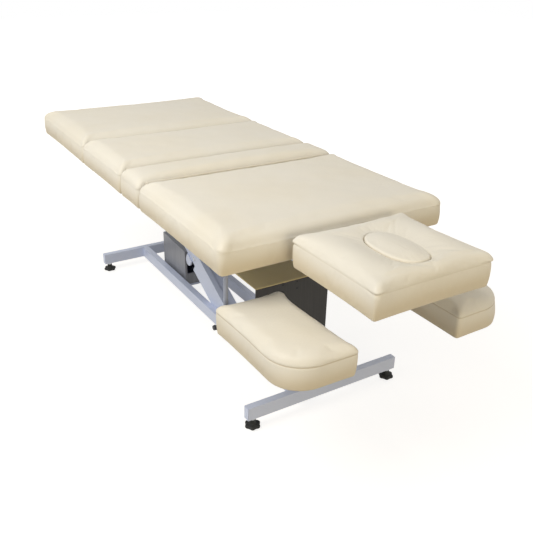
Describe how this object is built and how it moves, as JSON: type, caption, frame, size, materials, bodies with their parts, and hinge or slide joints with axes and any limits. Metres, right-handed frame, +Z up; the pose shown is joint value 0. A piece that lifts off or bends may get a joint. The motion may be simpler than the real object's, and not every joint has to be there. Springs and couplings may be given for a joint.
{
  "type": "electric massage table",
  "caption": "Electric massage table: a scissor lift carries a raising back, fixed seat, raising leg sections, a sliding face rest and swinging arm rests.",
  "frame": {"origin": "on the floor under the middle of the table, midway between its two ends", "axes": "+Z up, +Y from the head end towards the foot end, +X to the right seen from the head end looking at the foot end"},
  "size_m": [0.813, 2.135, 0.69],
  "materials": {
    "cream_vinyl": "smooth cream upholstery vinyl over foam",
    "shade_vinyl": "tan upholstery vinyl over foam",
    "plywood": "plain plywood with a vinyl back",
    "frame_paint": "pale silver grey powder coat",
    "dark_paint": "dark grey satin paint",
    "bare_steel": "zinc plated steel",
    "black_rubber": "matt black rubber",
    "drive_plastic": "matt black plastic"
  },
  "bodies": {
    "base": {"base_bar_head": "frame_paint", "base_bar_foot": "frame_paint", "base_rail_left": "frame_paint", "base_rail_right": "frame_paint", "drive_tray": "frame_paint", "drive_guard": "dark_paint", "lower_pivot_shaft": "bare_steel", "control_box_body": "dark_paint", "control_box_front": "dark_paint", "control_box_lid": "shade_vinyl"},
    "foot_hl": {"foot_head_left": "black_rubber"},
    "foot_hr": {"foot_head_right": "black_rubber"},
    "foot_fl": {"foot_foot_left": "black_rubber"},
    "foot_fr": {"foot_foot_right": "black_rubber"},
    "leg_a": {"lift_leg_a": "frame_paint", "crossing_pin": "bare_steel"},
    "upper_rollers": {"upper_roller_axle": "bare_steel"},
    "leg_b": {"lift_leg_b": "frame_paint"},
    "lower_rollers": {"lower_roller_axle": "bare_steel"},
    "carriage": {"roller_channel_left": "frame_paint", "roller_channel_right": "frame_paint", "upper_pivot_shaft": "bare_steel", "portal_head": "frame_paint", "portal_middle": "frame_paint", "portal_foot": "frame_paint", "top_rail_left": "frame_paint", "top_rail_right": "frame_paint", "seat_board": "plywood", "seat_cushion": "cream_vinyl", "seat_leaf_back": "bare_steel", "seat_leaf_thigh": "bare_steel"},
    "back": {"back_board": "plywood", "back_cushion": "cream_vinyl", "back_rail_left": "frame_paint", "back_rail_right": "frame_paint", "back_cross_plate": "frame_paint", "back_leaf": "bare_steel"},
    "headrest": {"headrest_board": "plywood", "headrest_cushion": "cream_vinyl", "headrest_rod_left": "bare_steel", "headrest_rod_right": "bare_steel"},
    "plug": {"headrest_plug": "cream_vinyl"},
    "armrest_left": {"armrest_cushion_left": "cream_vinyl", "armrest_arm_left": "frame_paint"},
    "armrest_right": {"armrest_cushion_right": "cream_vinyl", "armrest_arm_right": "frame_paint"},
    "thigh": {"thigh_board": "plywood", "thigh_cushion": "cream_vinyl", "thigh_frame": "frame_paint", "thigh_leaf": "bare_steel"},
    "calf": {"calf_board": "plywood", "calf_cushion": "cream_vinyl", "calf_frame": "frame_paint"},
    "link": {"level_link": "frame_paint"},
    "lift_tube": {"lift_drive_tube": "drive_plastic"},
    "lift_rod": {"lift_drive_rod": "bare_steel"},
    "back_tube": {"back_drive_tube": "drive_plastic"},
    "back_rod": {"back_drive_rod": "bare_steel"},
    "leg_tube": {"leg_drive_tube": "drive_plastic"},
    "leg_rod": {"leg_drive_rod": "bare_steel"}
  },
  "joints": [
    {"name": "lift", "type": "hinge", "parent": "base", "child": "leg_a", "pos_m": [0, -0.1195, 0.061], "axis": [1, 0, 0], "range_deg": [-4.5, 14]},
    {"name": "scissor_cross", "type": "hinge", "parent": "leg_a", "child": "leg_b", "pos_m": [0, 0.17585, 0.21804], "axis": [1, 0, 0], "range_deg": [-28.01, 9.01]},
    {"name": "carriage_level", "type": "hinge", "parent": "leg_b", "child": "carriage", "pos_m": [0, -0.1195, 0.37508], "axis": [1, 0, 0], "range_deg": [-4.51, 14.01]},
    {"name": "upper_roller_turn", "type": "hinge", "parent": "leg_a", "child": "upper_rollers", "pos_m": [0, 0.47119, 0.37508], "axis": [1, 0, 0], "continuous": true},
    {"name": "lower_roller_turn", "type": "hinge", "parent": "leg_b", "child": "lower_rollers", "pos_m": [0, 0.47119, 0.061], "axis": [1, 0, 0], "continuous": true},
    {"name": "back_raise", "type": "hinge", "parent": "carriage", "child": "back", "pos_m": [0, -0.0815, 0.668], "axis": [-1, 0, 0], "range_deg": [0, 45]},
    {"name": "headrest_slide", "type": "slide", "parent": "back", "child": "headrest", "axis": [0, -1, 0], "range_m": [0, 0.12]},
    {"name": "plug_lift", "type": "slide", "parent": "headrest", "child": "plug", "axis": [0, 0, 1], "range_m": [0, 0.12]},
    {"name": "armrest_left_swing", "type": "hinge", "parent": "back", "child": "armrest_left", "pos_m": [-0.3565, -0.6075, 0.5], "axis": [0, 0, -1], "range_deg": [-15, 75]},
    {"name": "armrest_right_swing", "type": "hinge", "parent": "back", "child": "armrest_right", "pos_m": [0.3565, -0.6075, 0.5], "axis": [0, 0, 1], "range_deg": [-15, 75]},
    {"name": "leg_raise", "type": "hinge", "parent": "carriage", "child": "thigh", "pos_m": [0, 0.0915, 0.668], "axis": [1, 0, 0], "range_deg": [0, 30]},
    {"name": "knee", "type": "hinge", "parent": "thigh", "child": "calf", "pos_m": [0, 0.5105, 0.563], "axis": [1, 0, 0], "range_deg": [-30.01, 0.01]},
    {"name": "level_link_turn", "type": "hinge", "parent": "carriage", "child": "link", "pos_m": [0, 0.1555, 0.538], "axis": [1, 0, 0], "range_deg": [-0.01, 30.01]},
    {"name": "lift_drive_turn", "type": "hinge", "parent": "base", "child": "lift_tube", "pos_m": [0, 0.4885, 0.112], "axis": [1, 0, 0], "range_deg": [-7.71, 2.49]},
    {"name": "lift_drive_stroke", "type": "slide", "parent": "lift_tube", "child": "lift_rod", "axis": [0, -0.9957, 0.093], "range_m": [-0.01055, 0.0328]},
    {"name": "back_drive_turn", "type": "hinge", "parent": "carriage", "child": "back_tube", "pos_m": [-0.03, -0.0215, 0.37406], "axis": [-1, 0, 0], "range_deg": [-0.01, 22.4]},
    {"name": "back_drive_stroke", "type": "slide", "parent": "back_tube", "child": "back_rod", "axis": [0, -0.9023, 0.4311], "range_m": [-0.0001, 0.1616]},
    {"name": "leg_drive_turn", "type": "hinge", "parent": "carriage", "child": "leg_tube", "pos_m": [0.03, 0.0315, 0.37406], "axis": [1, 0, 0], "range_deg": [-0.01, 14.94]},
    {"name": "leg_drive_stroke", "type": "slide", "parent": "leg_tube", "child": "leg_rod", "axis": [0, 0.9023, 0.4311], "range_m": [-0.0001, 0.1142]},
    {"name": "foot_head_left_turn", "type": "hinge", "parent": "base", "child": "foot_hl", "pos_m": [-0.278, -0.638, 0.02], "axis": [0, 0, 1], "range_deg": [-180, 180]},
    {"name": "foot_head_right_turn", "type": "hinge", "parent": "base", "child": "foot_hr", "pos_m": [0.278, -0.638, 0.02], "axis": [0, 0, 1], "range_deg": [-180, 180]},
    {"name": "foot_foot_left_turn", "type": "hinge", "parent": "base", "child": "foot_fl", "pos_m": [-0.278, 0.687, 0.02], "axis": [0, 0, 1], "range_deg": [-180, 180]},
    {"name": "foot_foot_right_turn", "type": "hinge", "parent": "base", "child": "foot_fr", "pos_m": [0.278, 0.687, 0.02], "axis": [0, 0, 1], "range_deg": [-180, 180]}
  ],
  "couplings": [
    {"joint": "scissor_cross", "follows": "lift", "ratio": -2},
    {"joint": "carriage_level", "follows": "lift", "ratio": 1},
    {"joint": "lift_drive_turn", "follows": "lift", "ratio": -0.55},
    {"joint": "lift_drive_stroke", "follows": "lift", "m_per_rad": 0.1335},
    {"joint": "back_drive_turn", "follows": "back_raise", "ratio": 0.4975},
    {"joint": "back_drive_stroke", "follows": "back_raise", "m_per_rad": 0.2055},
    {"joint": "knee", "follows": "leg_raise", "ratio": -1},
    {"joint": "level_link_turn", "follows": "leg_raise", "ratio": 1},
    {"joint": "leg_drive_turn", "follows": "leg_raise", "ratio": 0.4975},
    {"joint": "leg_drive_stroke", "follows": "leg_raise", "m_per_rad": 0.21775}
  ]
}
